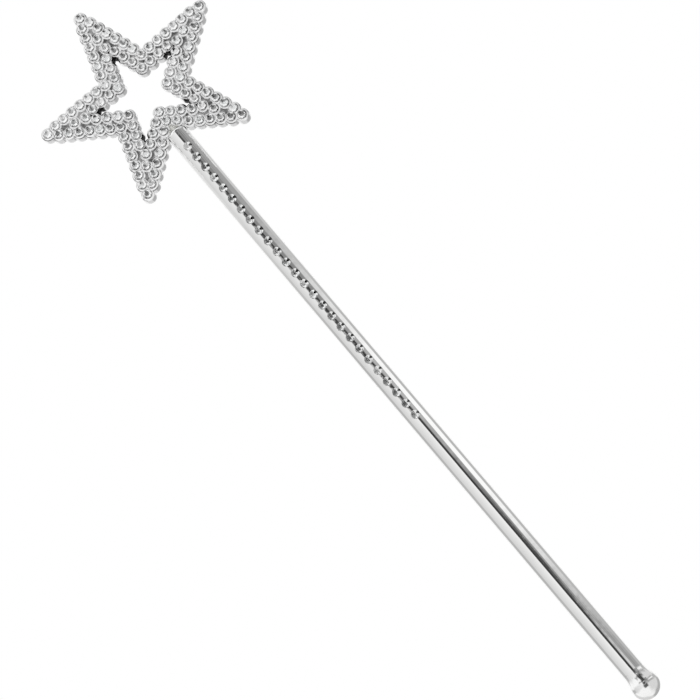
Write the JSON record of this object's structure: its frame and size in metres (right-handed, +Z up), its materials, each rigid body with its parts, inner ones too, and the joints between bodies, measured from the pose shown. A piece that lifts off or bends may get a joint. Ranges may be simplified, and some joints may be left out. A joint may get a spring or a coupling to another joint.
{
  "type": "magic wand",
  "caption": "Slim silver fairy wand: round hollow rod with a row of small set stones, an open five-pointed star covered in round clear stones at the top, and a ball end.",
  "frame": {"origin": "on the rod's axis at the middle of the hand grip, the smooth lower stretch of the rod", "axes": "+Z up along the rod to the star, -Y out of the star's stone-set front, +X to the right of someone facing that front"},
  "size_m": [0.0794, 0.0104, 0.3349],
  "materials": {
    "star_silver": "vacuum-metallised plastic, bright silver",
    "rod_silver": "vacuum-metallised plastic, mirror bright",
    "clear_stone": "clear cut acrylic stones with foiled backs",
    "plug_plastic": "natural white moulded plastic"
  },
  "bodies": {
    "root": {"star_front": "star_silver", "star_back": "star_silver", "neck_plug": "plug_plastic", "rod": "rod_silver", "end_ball": "rod_silver", "rod_stones": "clear_stone", "top_outer_stones": "clear_stone", "top_inner_stones": "clear_stone", "upper_right_outer_stones": "clear_stone", "upper_right_inner_stones": "clear_stone", "lower_right_outer_stones": "clear_stone", "lower_right_inner_stones": "clear_stone", "lower_left_outer_stones": "clear_stone", "lower_left_inner_stones": "clear_stone", "upper_left_outer_stones": "clear_stone", "upper_left_inner_stones": "clear_stone"}
  },
  "joints": []
}
